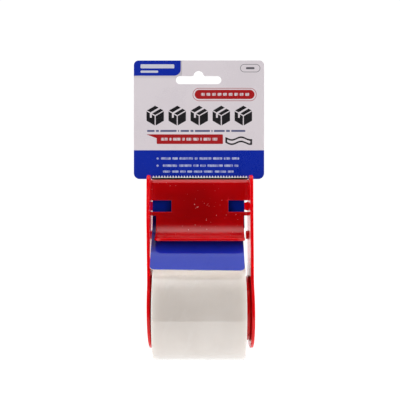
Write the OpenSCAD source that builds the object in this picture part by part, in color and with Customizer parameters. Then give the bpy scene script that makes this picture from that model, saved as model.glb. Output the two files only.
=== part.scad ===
// Hand-held packing tape dispenser with a roll of tape and its hang card.
// Millimetres. +Z up, +X to the right seen from the front, -Y towards the user.
// The origin is the bottom centre: the roll turns about the X axis at y = 0.

/* [Tape roll] */
// Width of the tape
tape_w = 48; // [36:0.5:50]
// Outer radius of the full roll
roll_r = 27.5; // [24:0.1:27.5]
// Bore radius of the core (1.5 inch core)
core_r = 19.05; // [18.9:0.05:19.3]
// Wall of the core
core_wall = 2.05; // [1.2:0.05:2.4]
// Length of the pull tab at the tape's free end, along the roll
tab_len = 9; // [5:0.5:14]
// Where the roll has settled between the arms, from the middle
roll_x = -0.4; // [-0.4:0.1:0.4]

/* [Arms] */
// Distance between the inner faces of the two arms
arm_gap = 52.4; // [52.2:0.1:54]
// Thickness of an arm
arm_t = 1.7; // [1.4:0.1:2.4]
// Radius of the round lower end of an arm
disc_r = 21.2; // [20:0.1:22]
// Height of the top of the arms
arm_top = 99.2; // [98.6:0.1:99.4]
// Height at which the arms leave the front plate and begin to flex
flex_z = 77.45; // [77.45:0.05:77.5]
// Free lean of the left arm, in degrees inwards
left_lean = 0.87; // [0:0.01:0.9]
// Free lean of the right arm, in degrees outwards
right_lean = 0.34; // [0:0.01:1]

/* [Hubs] */
// Outer radius of a hub
hub_r = 17.1; // [16.5:0.1:17.4]
// Radius of the finger hole through a hub
hub_hole_r = 15.2; // [14.5:0.1:15.4]
// How far a hub reaches inwards from its arm
hub_len = 6.5; // [5:0.1:7]
// Height of the snap bead at the end of a hub
bead_h = 0.55; // [0.3:0.05:0.7]
// Width of the four slits in a hub
slit_w = 1.6; // [1:0.1:2.4]

/* [Front plate] */
// Front face of the plate, from the roll axis
plate_y = -2; // [-2.2:0.1:-1.9]
// Thickness of the plate
plate_t = 1.4; // [1.3:0.1:1.4]
// Height of the plate's upper edge
plate_top = 95.2; // [94.5:0.1:95.4]
// Height of the plate's lower edge beside the lip
plate_low = 77.6; // [77.6:0.1:78]
// Half the width of the thumb lip
lip_half = 23.6; // [21:0.1:23.6]
// Inner bend radius of the thumb lip
lip_r = 11.4; // [10:0.1:11.4]
// Length of the lip's flat free edge, past its bend
lip_land = 2.4; // [1:0.1:2.6]
// Window: from the centre to its inner edge
win_x = 15.4; // [13:0.1:18]
// Window: lower edge
win_z0 = 79.6; // [79:0.1:80]
// Window: upper edge
win_z1 = 85.8; // [85:0.1:87]

/* [Blade] */
// Length of the blade
blade_w = 51.8; // [48:0.1:51.8]
// Thickness of the blade
blade_t = 0.4; // [0.3:0.05:0.4]
// Number of teeth
teeth = 34; // [24:1:44]
// Height of the tooth valleys
valley_z = 98.0; // [97.6:0.05:98.2]
// Height of the tooth tips
tip_z = 99.35; // [99:0.05:99.6]

/* [Hang card] */
// Width of the card's header
card_w = 71; // [64:0.5:74]
// Top edge of the card
card_top = 162; // [150:0.5:166]
// Lower edge of the header
card_low = 97.4; // [97.3:0.1:98.6]
// Where the card sits, from the middle of the frame
card_x = -0.5; // [-0.5:0.1:0.5]
// Thickness of the card
card_t = 0.4; // [0.3:0.05:0.45]
// Length of the hang slot
slot_w = 24.8; // [20:0.2:32]
// Height of the hang slot
slot_h = 4.4; // [4.2:0.1:5]
// Height at which the tongue ends
tongue_end = 50.1; // [50:0.1:54]

/* [Hidden] */
$fn = 96;

axis_z = 27.5;                       // height of the roll's axis
arm_in = arm_gap / 2;                // inner face of an arm
plate_back = plate_y + plate_t;
blade_back = plate_back + blade_t;
card_front = 0.9;                    // front face of the card behind the plate
card_mid = card_front + card_t / 2;
cut = 0.15;                          // half the gap where an arm begins to flex
stake_x = [-20, -10, 0, 10, 20];
stake_z = 91.5;
stake_r = 1.0;
slot_z = 151.3;                      // middle height of the hang slot
slot_x = card_x - 0.2;               // middle of the hang slot

red = [0.80, 0.03, 0.04];

// Points of an arc, from angle a0 to a1 in n steps
function arc(c, r, a0, a1, n) = [for (i = [0:n]) c + r * [cos(a0 + (a1 - a0) * i / n), sin(a0 + (a1 - a0) * i / n)]];

// 2D (y, z) drawn in the side plane, extruded along X from x0 by t
module side(x0, t) translate([x0, 0, 0]) rotate([90, 0, 90]) linear_extrude(t) children();
// 2D (x, z) drawn in the front plane, extruded along Y from y0 by t
module front(y0, t) translate([0, y0 + t, 0]) rotate([90, 0, 0]) linear_extrude(t) children();
// Cylinder along X from x0
module xcyl(x0, len, r, y = 0, z = 0) translate([x0, y, z]) rotate([0, 90, 0]) cylinder(h = len, r = r);
// Cylinder along Y from y0
module ycyl(y0, len, r, x = 0, z = 0) translate([x, y0, z]) rotate([-90, 0, 0]) cylinder(h = len, r = r);

// ---- arms ----
// Outline of an arm seen from the side. A round lower end runs through two
// concave arcs into a narrow strap that ends in a rounded top.
ff = 12;                                             // front fillet radius
fy = -15.2;                                          // front edge of the strap
fcz = axis_z + sqrt(pow(disc_r + ff, 2) - pow(fy - ff, 2));
fc = [fy - ff, fcz];
fa = atan2(fcz - axis_z, fy - ff);                   // direction of the front tangent point
rf = 16;                                             // rear fillet radius
ry = 7.5;                                            // rear edge of the strap
rcz = axis_z + sqrt(pow(disc_r + rf, 2) - pow(ry + rf, 2));
rc = [ry + rf, rcz];
ra = atan2(rcz - axis_z, ry + rf);                   // direction of the rear tangent point
arm_outline = concat(
    arc([0, axis_z], disc_r, fa, 360 + ra, 72),      // round the lower end, front to rear
    arc(rc, rf, ra + 180, 180, 12),                  // rear concave arc
    arc([2.2, 89.2], 3.4, 0, 45, 6),                 // rear corner, then a slope clear of the card
    arc([-4.6, arm_top - 3.6], 3.6, 45, 90, 6),      // end of the slope
    arc([-9.2, arm_top - 4.2], 4.2, 90, 180, 10),    // front top corner
    [[fy, 58]],
    arc(fc, ff, 0, fa - 180, 12)                     // front concave arc
);
module arm_shape(x0) side(x0, arm_t) polygon(arm_outline);

// Turns an arm about the foot of its shoulder by its free lean
module leaning(s) translate([s * (arm_in + arm_t / 2), 0, flex_z]) rotate([0, s > 0 ? -right_lean : -left_lean, 0])
    translate([-s * (arm_in + arm_t / 2), 0, -flex_z]) children();

module shoulder(s) color(red) intersection() {
    arm_shape(s > 0 ? arm_in : -arm_in - arm_t);
    translate([-50, -50, flex_z + cut]) cube([100, 100, 50]);
}
module lower_arm(s) color(red) leaning(s) difference() {
    arm_shape(s > 0 ? arm_in : -arm_in - arm_t);
    translate([-50, -50, flex_z - cut]) cube([100, 100, 50]);
    xcyl(s > 0 ? arm_in - 1 : -arm_in - arm_t - 1, arm_t + 2, hub_hole_r, 0, axis_z);
}

// ---- hubs ----
// A collar with a snap bead at its end, split into four spring segments
module hub_profile() polygon([
    [hub_hole_r, 0], [hub_r, 0], [hub_r, hub_len - 2.6],
    [hub_r + bead_h, hub_len - 1.8], [hub_r + bead_h, hub_len - 1.2],
    [hub_r - 0.5, hub_len], [hub_hole_r, hub_len]]);
module hub(s) color(red) leaning(s) translate([s * arm_in, 0, axis_z]) rotate([0, -90 * s, 0])
    difference() {
        rotate_extrude() hub_profile();
        for (a = [45, 135]) rotate([0, 0, a])
            translate([-30, -slit_w / 2, 1.4]) cube([60, slit_w, hub_len]);
    }
// Short peg behind the card's tongue
module card_peg(s) color(red) leaning(s) xcyl(s > 0 ? arm_in - 1.3 : -arm_in, 1.3, 2.3, 1.2, 67.0);

// ---- front plate ----
module front_plate() color(red) difference() {
    front(plate_y, plate_t) translate([-arm_in, plate_low]) square([arm_gap, plate_top - plate_low]);
    for (s = [-1, 1]) front(plate_y - 1, plate_t + 2)
        translate([s > 0 ? win_x : -arm_in - 1, win_z0]) square([arm_in + 1 - win_x, win_z1 - win_z0]);
}
corner = 3.5;                                        // radius of the lip's corners
module thumb_lip() color(red) intersection() {
    union() {
        translate([-lip_half, plate_y - lip_r, plate_low]) rotate([90, 0, 90]) rotate([0, 0, -90])
            rotate_extrude(angle = 90) translate([lip_r, 0]) square([plate_t, 2 * lip_half]);
        translate([-lip_half, plate_y - lip_r - lip_land, plate_low - lip_r - plate_t])
            cube([2 * lip_half, lip_land, plate_t]);
    }
    // rounded front corners
    translate([0, plate_y - lip_r - lip_land, 0]) union() {
        translate([-lip_half, corner, 40]) cube([2 * lip_half, 30, 60]);
        translate([-lip_half + corner, -1, 40]) cube([2 * (lip_half - corner), 10, 60]);
        for (s = [-1, 1]) translate([s * (lip_half - corner), corner, 40]) cylinder(h = 60, r = corner);
    }
}
module blade_ledge() color(red) side(-arm_in, arm_gap)
    polygon([[plate_y, plate_top], [plate_back, plate_top], [plate_back, 97.1], [plate_back - 0.1, 97.1]]);
module card_tab(s) color(red) translate([s > 0 ? win_x + 0.5 : -arm_in, 2.0, 80.6])
    cube([arm_in - win_x - 0.5, 1.3, 4.0]);

// ---- blade ----
pitch = blade_w / teeth;
blade_outline = concat(
    [[blade_w / 2, 88.5], [blade_w / 2, valley_z]],
    [for (i = [0:teeth - 1]) each [[blade_w / 2 - (i + 0.5) * pitch, tip_z], [blade_w / 2 - (i + 1) * pitch, valley_z]]],
    [[-blade_w / 2, 88.5]]);
module cutter_blade() color("silver") difference() {
    front(plate_back, blade_t) polygon(blade_outline);
    for (x = stake_x) ycyl(plate_back - 1, 3, stake_r + 0.05, x, stake_z);
}
module blade_stakes() color(red) for (x = stake_x) {
    ycyl(plate_back, blade_t, stake_r, x, stake_z);
    ycyl(blade_back, 0.5, 1.7, x, stake_z);
}

// ---- tape ----
module tape_core() color([0.72, 0.55, 0.38]) difference() {
    xcyl(roll_x - tape_w / 2, tape_w, core_r + core_wall, 0, axis_z);
    xcyl(roll_x - tape_w / 2 - 1, tape_w + 2, core_r, 0, axis_z);
}
module tape_roll() color([0.87, 0.85, 0.80]) difference() {
    xcyl(roll_x - tape_w / 2, tape_w, roll_r, 0, axis_z);
    xcyl(roll_x - tape_w / 2 - 1, tape_w + 2, core_r + core_wall + 0.02, 0, axis_z);
}
module tape_pull_tab() color([0.93, 0.92, 0.88])
    translate([roll_x - tape_w / 2, 0, axis_z]) rotate([90, 0, 90]) rotate([0, 0, 38])
        rotate_extrude(angle = tab_len / roll_r * 180 / PI) translate([roll_r + 0.03, 0]) square([0.15, tape_w]);

// ---- hang card ----
module slot2d() translate([slot_x, slot_z]) {
    translate([-slot_w / 2 + slot_h / 2, -slot_h / 2]) square([slot_w - slot_h, slot_h]);
    for (s = [-1, 1]) translate([s * (slot_w / 2 - slot_h / 2), 0]) circle(r = slot_h / 2);
    translate([0, slot_h / 2 - 0.1]) circle(r = 3.0);
}
module card_outline() {
    h = card_top - card_low;
    r1 = 2.6;
    r2 = 3.2;
    translate([-card_w / 2, card_low + r2]) square([card_w, h - r1 - r2]);
    translate([-card_w / 2 + r1, card_low + h - r1 - 1]) square([card_w - 2 * r1, r1 + 1]);
    translate([-card_w / 2 + r2, card_low]) square([card_w - 2 * r2, r2 + 1]);
    for (s = [-1, 1]) {
        translate([s * (card_w / 2 - r1), card_top - r1]) circle(r = r1);
        translate([s * (card_w / 2 - r2), card_low + r2]) circle(r = r2);
    }
}
module hang_card() color("white") front(card_front, card_t) difference() {
    translate([card_x, 0]) card_outline();
    slot2d();
}
// Centre line of the tongue in (y, z): down behind the plate, forward under
// the lip, then over the front of the roll
t_r = 12.5;
t_z = 77.8;
t_a = 50;
t_c = [card_mid - t_r, t_z];
t_end1 = t_c + t_r * [cos(t_a), -sin(t_a)];
t_len = 13.1;
t_mid = t_end1 + t_len * [-sin(t_a), -cos(t_a)];
t_b = 41;                                            // slope of the free end
t_r2 = 34;                                           // radius of its outward bend
function path_pts() = concat(
    [[card_mid, card_low]],
    [for (i = [0:20]) let (a = t_a * i / 20) t_c + t_r * [cos(a), -sin(a)]],
    [for (i = [0:8]) let (a = t_a + (t_b - t_a) * i / 8) t_mid + t_r2 * [cos(t_a) - cos(a), sin(a) - sin(t_a)]]);
tp0 = path_pts();
tp_last = tp0[len(tp0) - 1];
tp = concat(tp0, [tp_last + (tp_last[1] - tongue_end) / cos(t_b) * [-sin(t_b), -cos(t_b)]]);
function unit(v) = v / norm(v);
function nrm(i) = let (
    a = i > 0 ? unit(tp[i] - tp[i - 1]) : unit(tp[1] - tp[0]),
    b = i < len(tp) - 1 ? unit(tp[i + 1] - tp[i]) : a,
    d = unit(a + b)) [d[1], -d[0]];
tongue_outline = concat(
    [for (i = [0:len(tp) - 1]) tp[i] + card_t / 2 * nrm(i)],
    [for (i = [len(tp) - 1:-1:0]) tp[i] - card_t / 2 * nrm(i)]);
// Outline of the tongue seen from the front: it narrows at a small step, and its
// end has rounded corners
tongue_x0 = -25.8;                                   // left edge at the top
tongue_x1 = 24.25;                                   // right edge at the top
tongue_face = concat(
    [[tongue_x1, card_low], [tongue_x1, 70.9], [tongue_x1 - 1.1, 69.5]],
    arc([20.65, tongue_end + 2.2], 2.2, 0, -90, 8),
    arc([-23.3, tongue_end + 2.7], 2.2, -90, -180, 8),
    [[tongue_x0, 76], [tongue_x0, card_low]]);
module card_tongue() color([0.16, 0.22, 0.66]) intersection() {
    side(tongue_x0 - 1, tongue_x1 - tongue_x0 + 2) polygon(tongue_outline);
    front(-40, 60) polygon(tongue_face);
}

front_plate();
thumb_lip();
blade_ledge();
shoulder(-1);  // left_shoulder
shoulder(1);  // right_shoulder
card_tab(-1);  // left_card_tab
card_tab(1);  // right_card_tab
cutter_blade();
blade_stakes();
lower_arm(-1);  // left_arm
hub(-1);  // left_hub
card_peg(-1);  // left_card_peg
lower_arm(1);  // right_arm
hub(1);  // right_hub
card_peg(1);  // right_card_peg
tape_core();
tape_roll();
tape_pull_tab();
hang_card();
card_tongue();
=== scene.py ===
import math
import bpy
import bmesh
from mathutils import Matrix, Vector


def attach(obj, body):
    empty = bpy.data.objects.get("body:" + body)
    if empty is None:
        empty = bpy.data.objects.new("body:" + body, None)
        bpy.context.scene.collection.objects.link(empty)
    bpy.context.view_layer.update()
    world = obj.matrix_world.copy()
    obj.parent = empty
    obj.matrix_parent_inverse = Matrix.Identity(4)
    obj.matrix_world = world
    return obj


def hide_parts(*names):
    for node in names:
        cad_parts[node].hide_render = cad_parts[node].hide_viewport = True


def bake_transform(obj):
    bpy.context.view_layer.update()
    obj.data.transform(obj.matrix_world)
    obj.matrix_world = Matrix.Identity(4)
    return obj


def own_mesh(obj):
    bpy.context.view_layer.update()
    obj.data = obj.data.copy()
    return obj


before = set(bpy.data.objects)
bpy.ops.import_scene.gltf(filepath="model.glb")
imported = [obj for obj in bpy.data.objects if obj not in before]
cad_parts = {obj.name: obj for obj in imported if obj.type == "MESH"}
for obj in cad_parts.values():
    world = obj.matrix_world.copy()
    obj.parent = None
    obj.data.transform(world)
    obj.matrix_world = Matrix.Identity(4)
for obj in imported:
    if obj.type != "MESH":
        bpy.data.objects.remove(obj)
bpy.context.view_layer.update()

MM = 0.001
scene = bpy.context.scene


# ------------------------------------------------------------------ meshes
def link(name, mesh):
    ob = bpy.data.objects.new(name, mesh)
    scene.collection.objects.link(ob)
    return ob


def mesh_from(name, verts, faces, mats=None, smooth=True):
    """A mesh object from millimetre points. mats gives a material index for each face."""
    me = bpy.data.meshes.new(name)
    me.from_pydata([(x * MM, y * MM, z * MM) for x, y, z in verts], [], faces)
    if mats:
        me.polygons.foreach_set("material_index", mats)
    me.validate()
    bm = bmesh.new()
    bm.from_mesh(me)
    bmesh.ops.remove_doubles(bm, verts=bm.verts, dist=1e-7)
    bmesh.ops.recalc_face_normals(bm, faces=bm.faces)
    bm.to_mesh(me)
    bm.free()
    if smooth:
        me.polygons.foreach_set("use_smooth", [True] * len(me.polygons))
    me.update()
    return link(name, me)


def finish_edges(ob, width=0.25, segments=3, angle=40, keep=None):
    """Rounded edges with flat faces kept flat. keep(edge) is true where an edge stays sharp."""
    bm = bmesh.new()
    bm.from_mesh(ob.data)
    layer = bm.edges.layers.float.new("bevel_weight_edge")
    for e in bm.edges:
        if len(e.link_faces) == 2 and e.calc_face_angle(0.0) > math.radians(angle) and not (keep and keep(e)):
            e[layer] = 1.0
    bm.to_mesh(ob.data)
    bm.free()
    b = ob.modifiers.new("edges", "BEVEL")
    b.width = width * MM
    b.segments = segments
    b.limit_method = "WEIGHT"
    b.harden_normals = False
    b.use_clamp_overlap = keep is None
    w = ob.modifiers.new("normals", "WEIGHTED_NORMAL")
    w.mode = "FACE_AREA"
    w.keep_sharp = False
    w.weight = 80
    return ob


def apply_modifiers(ob):
    dg = bpy.context.evaluated_depsgraph_get()
    me = bpy.data.meshes.new_from_object(ob.evaluated_get(dg), depsgraph=dg)
    ob.modifiers.clear()
    old = ob.data
    ob.data = me
    bpy.data.meshes.remove(old)
    return ob


def arc(cx, cy, r, a0, a1, n):
    return [(cx + r * math.cos(math.radians(a0 + (a1 - a0) * i / n)),
             cy + r * math.sin(math.radians(a0 + (a1 - a0) * i / n))) for i in range(n + 1)]


def lathe(name, profile, x0, sign, zc, n=192, yc=0.0, closed=True):
    """Turns a closed (x, r) profile about an axis along X, through (yc, zc)."""
    verts, faces = [], []
    m = len(profile)
    for k in range(n):
        a = 2 * math.pi * k / n
        for px, pr in profile:
            verts.append((x0 + sign * px, yc + pr * math.cos(a), zc + pr * math.sin(a)))
    for k in range(n):
        for j in range(m if closed else m - 1):
            a, b = k * m + j, k * m + (j + 1) % m
            c, d = ((k + 1) % n) * m + (j + 1) % m, ((k + 1) % n) * m + j
            faces.append((a, b, c, d))
    return mesh_from(name, verts, faces)


def plate_2d(name, loops, depth, bevel, axis, at, res=3):
    """A flat plate with rounded edges from closed 2D loops. The first is the outline and
    the rest are holes. axis "x": the loops are (y, z), and "y": the loops are (x, z)."""
    cu = bpy.data.curves.new(name, "CURVE")
    cu.dimensions = "2D"
    cu.fill_mode = "BOTH"
    cu.extrude = max(depth / 2 - bevel, 0.0001) * MM
    cu.bevel_depth = bevel * MM
    cu.bevel_resolution = res
    cu.offset = -bevel * MM
    for loop in loops:
        sp = cu.splines.new("POLY")
        sp.points.add(len(loop) - 1)
        for p, (u, v) in zip(sp.points, loop):
            p.co = (u * MM, v * MM, 0, 1)
        sp.use_cyclic_u = True
    tmp = link(name + "_curve", cu)
    bpy.context.view_layer.update()
    dg = bpy.context.evaluated_depsgraph_get()
    me = bpy.data.meshes.new_from_object(tmp.evaluated_get(dg), depsgraph=dg)
    bpy.data.objects.remove(tmp)
    bpy.data.curves.remove(cu)
    for v in me.vertices:
        u, w, d = v.co
        v.co = (at * MM + d, u, w) if axis == "x" else (u, at * MM + d, w)
    bm = bmesh.new()
    bm.from_mesh(me)
    bmesh.ops.remove_doubles(bm, verts=bm.verts, dist=2e-6)
    bmesh.ops.dissolve_degenerate(bm, dist=1e-7, edges=bm.edges)
    bmesh.ops.recalc_face_normals(bm, faces=bm.faces)
    bm.to_mesh(me)
    bm.free()
    me.materials.clear()
    me.polygons.foreach_set("use_smooth", [True] * len(me.polygons))
    me.name = name
    return link(name, me)


def weighted(ob):
    w = ob.modifiers.new("normals", "WEIGHTED_NORMAL")
    w.mode = "FACE_AREA"
    w.weight = 90
    w.keep_sharp = False
    return ob


def bisect_rows(ob, zs):
    """Cuts a mesh with level planes, so that it can bend."""
    bm = bmesh.new()
    bm.from_mesh(ob.data)
    for z in zs:
        geom = bm.verts[:] + bm.edges[:] + bm.faces[:]
        bmesh.ops.bisect_plane(bm, geom=geom, plane_co=(0, 0, z * MM), plane_no=(0, 0, 1), dist=1e-7)
    bm.to_mesh(ob.data)
    bm.free()
    ob.data.polygons.foreach_set("use_smooth", [True] * len(ob.data.polygons))


# --------------------------------------------------------------- materials
class Nodes:
    """Short names for building a node tree."""

    def __init__(self, name):
        self.mat = bpy.data.materials.new(name)
        self.mat.use_nodes = True
        self.t = self.mat.node_tree
        self.t.nodes.clear()
        self.out = self.t.nodes.new("ShaderNodeOutputMaterial")
        self.bsdf = self.t.nodes.new("ShaderNodeBsdfPrincipled")
        self.t.links.new(self.bsdf.outputs[0], self.out.inputs["Surface"])
        tc = self.t.nodes.new("ShaderNodeTexCoord")
        self.co = tc.outputs["Object"]
        self._mm = None

    def put(self, socket, value):
        if isinstance(value, bpy.types.NodeSocket):
            self.t.links.new(value, socket)
        else:
            socket.default_value = value

    def math(self, op, a, b=0.0, c=0.0, clamp=False):
        n = self.t.nodes.new("ShaderNodeMath")
        n.operation = op
        n.use_clamp = clamp
        self.put(n.inputs[0], a)
        self.put(n.inputs[1], b)
        self.put(n.inputs[2], c)
        return n.outputs[0]

    def mm(self):
        """Object coordinates in millimetres, as separate X, Y and Z."""
        if self._mm is None:
            v = self.t.nodes.new("ShaderNodeVectorMath")
            v.operation = "SCALE"
            self.t.links.new(self.co, v.inputs[0])
            v.inputs["Scale"].default_value = 1000.0
            s = self.t.nodes.new("ShaderNodeSeparateXYZ")
            self.t.links.new(v.outputs[0], s.inputs[0])
            self._mm = (s.outputs[0], s.outputs[1], s.outputs[2])
        return self._mm

    def vec(self, x, y, z):
        n = self.t.nodes.new("ShaderNodeCombineXYZ")
        for s, v in zip(n.inputs, (x, y, z)):
            self.put(s, v)
        return n.outputs[0]

    def noise(self, scale, detail=4.0, rough=0.5, vector=None, distortion=0.0):
        n = self.t.nodes.new("ShaderNodeTexNoise")
        n.inputs["Scale"].default_value = scale
        n.inputs["Detail"].default_value = detail
        n.inputs["Roughness"].default_value = rough
        n.inputs["Distortion"].default_value = distortion
        self.t.links.new(vector if vector is not None else self.co, n.inputs["Vector"])
        return n.outputs["Fac"]

    def stretch(self, sx, sy, sz):
        n = self.t.nodes.new("ShaderNodeVectorMath")
        n.operation = "MULTIPLY"
        self.t.links.new(self.co, n.inputs[0])
        n.inputs[1].default_value = (sx, sy, sz)
        return n.outputs[0]

    def ramp(self, fac, lo, hi, a=0.0, b=1.0):
        """Maps fac from lo..hi to a..b, clamped."""
        n = self.t.nodes.new("ShaderNodeMapRange")
        self.put(n.inputs["Value"], fac)
        n.inputs["From Min"].default_value = lo
        n.inputs["From Max"].default_value = hi
        n.inputs["To Min"].default_value = a
        n.inputs["To Max"].default_value = b
        return n.outputs[0]

    def mix(self, fac, a, b, blend="MIX"):
        n = self.t.nodes.new("ShaderNodeMix")
        n.data_type = "RGBA"
        n.blend_type = blend
        n.clamp_factor = True
        self.put(n.inputs[0], fac)
        self.put(n.inputs[6], a if isinstance(a, bpy.types.NodeSocket) else (*a, 1.0))
        self.put(n.inputs[7], b if isinstance(b, bpy.types.NodeSocket) else (*b, 1.0))
        return n.outputs[2]

    def bump(self, height, strength, distance, normal=None):
        n = self.t.nodes.new("ShaderNodeBump")
        n.inputs["Strength"].default_value = strength
        n.inputs["Distance"].default_value = distance
        self.put(n.inputs["Height"], height)
        if normal is not None:
            self.t.links.new(normal, n.inputs["Normal"])
        return n.outputs[0]

    def pointy(self):
        return self.t.nodes.new("ShaderNodeNewGeometry").outputs["Pointiness"]

    def set(self, **kw):
        names = {"color": "Base Color", "rough": "Roughness", "metal": "Metallic", "normal": "Normal",
                 "ior": "IOR", "coat": "Coat Weight", "coat_rough": "Coat Roughness", "sub": "Subsurface Weight",
                 "sub_scale": "Subsurface Scale", "sub_radius": "Subsurface Radius", "spec": "Specular IOR Level",
                 "aniso": "Anisotropic", "coat_ior": "Coat IOR", "coat_normal": "Coat Normal", "emit": "Emission Color",
                 "emit_s": "Emission Strength", "sheen": "Sheen Weight", "trans": "Transmission Weight"}
        for k, v in kw.items():
            self.put(self.bsdf.inputs[names[k]], v)
        return self.mat


def box_group():
    """A rounded rectangle mask with soft edges: 1 inside and 0 outside."""
    g = bpy.data.node_groups.new("rounded_box", "ShaderNodeTree")
    for n in ("X", "Z", "CX", "CZ", "HX", "HZ", "R"):
        g.interface.new_socket(name=n, in_out="INPUT", socket_type="NodeSocketFloat")
    g.interface.new_socket(name="Mask", in_out="OUTPUT", socket_type="NodeSocketFloat")
    gi = g.nodes.new("NodeGroupInput")
    go = g.nodes.new("NodeGroupOutput")

    def m(op, a, b=0.0, clamp=False):
        n = g.nodes.new("ShaderNodeMath")
        n.operation = op
        n.use_clamp = clamp
        for s, v in zip(n.inputs, (a, b)):
            if isinstance(v, bpy.types.NodeSocket):
                g.links.new(v, s)
            else:
                s.default_value = v
        return n.outputs[0]
    parts = []
    for a, c, h in (("X", "CX", "HX"), ("Z", "CZ", "HZ")):
        d = m("ABSOLUTE", m("SUBTRACT", gi.outputs[a], gi.outputs[c]))
        q = m("SUBTRACT", d, m("SUBTRACT", gi.outputs[h], gi.outputs["R"]))
        parts.append(m("MAXIMUM", q, 0.0))
    s = m("SQRT", m("ADD", m("MULTIPLY", parts[0], parts[0]), m("MULTIPLY", parts[1], parts[1])))
    d = m("SUBTRACT", s, gi.outputs["R"])
    r = m("ADD", m("MULTIPLY", d, -14.0), 0.5, clamp=True)
    g.links.new(r, go.inputs["Mask"])
    return g


BOX = box_group()


def rbox(nd, x0, x1, z0, z1, r=0.12, x=None, z=None):
    """Mask of a rounded rectangle between two corners, in millimetres."""
    X, _, Z = nd.mm()
    n = nd.t.nodes.new("ShaderNodeGroup")
    n.node_tree = BOX
    nd.put(n.inputs["X"], x if x is not None else X)
    nd.put(n.inputs["Z"], z if z is not None else Z)
    n.inputs["CX"].default_value = (x0 + x1) / 2
    n.inputs["CZ"].default_value = (z0 + z1) / 2
    n.inputs["HX"].default_value = abs(x1 - x0) / 2
    n.inputs["HZ"].default_value = abs(z1 - z0) / 2
    n.inputs["R"].default_value = min(r, abs(x1 - x0) / 2, abs(z1 - z0) / 2)
    return n.outputs[0]


def union(nd, masks):
    m = masks[0]
    for k in masks[1:]:
        m = nd.math("MAXIMUM", m, k)
    return m


def minus(nd, a, b):
    return nd.math("SUBTRACT", a, b, clamp=True)


# red moulded polypropylene. The plate's middle, where it backs onto the card, is painted a darker red as painted shade,
# clearing towards the arms.
def red_plastic(name, lo, hi, painted_shade_colour=None, spec=0.5, scale=0.0032, specks=False, gloss=0.12):
    n = Nodes(name)
    X, Y, Z = n.mm()
    cloud = n.noise(70, 3, 0.5)
    fine = n.noise(900, 3, 0.6)
    flow = n.noise(1.0, 3, 0.55, n.stretch(60, 240, 38), 0.4)
    edge = n.ramp(n.pointy(), 0.53, 0.60)
    c = n.mix(n.ramp(cloud, 0.35, 0.65), lo, hi)
    c = n.mix(n.math("MULTIPLY", n.ramp(flow, 0.45, 0.75), 0.35), c, (min(hi[0] * 1.06, 0.97), 0.003, 0.010))
    if painted_shade_colour:
        # painted shade: darkens the middle of the plate, fading out towards the arms, the top edge and the lip
        ax = n.math("ABSOLUTE", n.math("ADD", X, 2.5))
        mid = n.math("MULTIPLY", n.ramp(ax, 5.0, 29.0, 1.0, 0.0), n.ramp(Z, 88.5, 95.0, 1.0, 0.66))
        mid = n.math("MULTIPLY", mid, n.ramp(Z, 95.0, 95.6, 1.0, 0.1))
        mid = n.math("MULTIPLY", mid, n.ramp(Z, 66.5, 74.5, 0.25, 1.0))
        c = n.mix(mid, c, n.mix(n.ramp(cloud, 0.35, 0.65), painted_shade_colour, tuple(k * 1.05 for k in painted_shade_colour)))
    if specks:
        dust = n.noise(760, 1, 0.5)
        where = n.ramp(n.noise(34, 2, 0.5), 0.44, 0.58)
        near = n.math("MULTIPLY", n.ramp(n.math("ABSOLUTE", n.math("SUBTRACT", X, 4.5)), 5.0, 15.0, 1.0, 0.0),
                      n.ramp(n.math("ABSOLUTE", n.math("SUBTRACT", Z, 80.0)), 5.0, 11.0, 1.0, 0.0))
        dust = n.math("ADD", dust, n.math("MULTIPLY", near, 0.022))
        dot = n.math("MULTIPLY", n.ramp(dust, 0.735, 0.785), n.math("MAXIMUM", where, near))
        c = n.mix(n.math("MULTIPLY", dot, 0.75), c, (0.80, 0.40, 0.38))
    # convex edges, found by pointiness, are painted a lighter red: a painted edge highlight
    c = n.mix(n.math("MULTIPLY", edge, 0.55), c, (0.92, 0.03, 0.05))
    rough = n.math("ADD", n.ramp(flow, 0.3, 0.7, gloss, gloss + 0.08), n.ramp(fine, 0.3, 0.7, -0.02, 0.03))
    nor = n.bump(n.math("ADD", n.math("MULTIPLY", fine, 0.25), cloud), 0.16, 0.00018)
    return n.set(color=c, rough=rough, normal=nor, ior=1.49, sub=0.85, sub_scale=scale,
                 sub_radius=(1.0, 0.06, 0.05), spec=spec)


# rolled strip steel, ground at the teeth. The strip's dark olive colour is painted shade standing in for its dark
# reflection; the near-white teeth are partly their real grind, partly a painted highlight
def blade_steel():
    n = Nodes("rolled_blade_steel")
    grain = n.noise(1.0, 4, 0.6, n.stretch(60, 900, 2600))
    spots = n.noise(420, 3, 0.6)
    X, Y, Z = n.mm()
    ground = n.ramp(Z, 97.9, 98.15)
    # painted shade: the strip is painted a dark olive steel; the teeth above it are painted near white, part grind and
    # part painted highlight
    c = n.mix(n.ramp(grain, 0.3, 0.7), (0.09, 0.09, 0.06), (0.17, 0.17, 0.12))
    c = n.mix(n.math("MULTIPLY", n.ramp(spots, 0.58, 0.78), 0.5), c, (0.12, 0.115, 0.08))
    c = n.mix(ground, c, (0.93, 0.93, 0.93))
    r = n.math("ADD", n.ramp(grain, 0.3, 0.7, 0.14, 0.24), n.math("MULTIPLY", ground, 0.40))
    return n.set(color=c, rough=r, metal=1.0, normal=n.bump(grain, 0.25, 0.00004), aniso=0.4)


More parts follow.
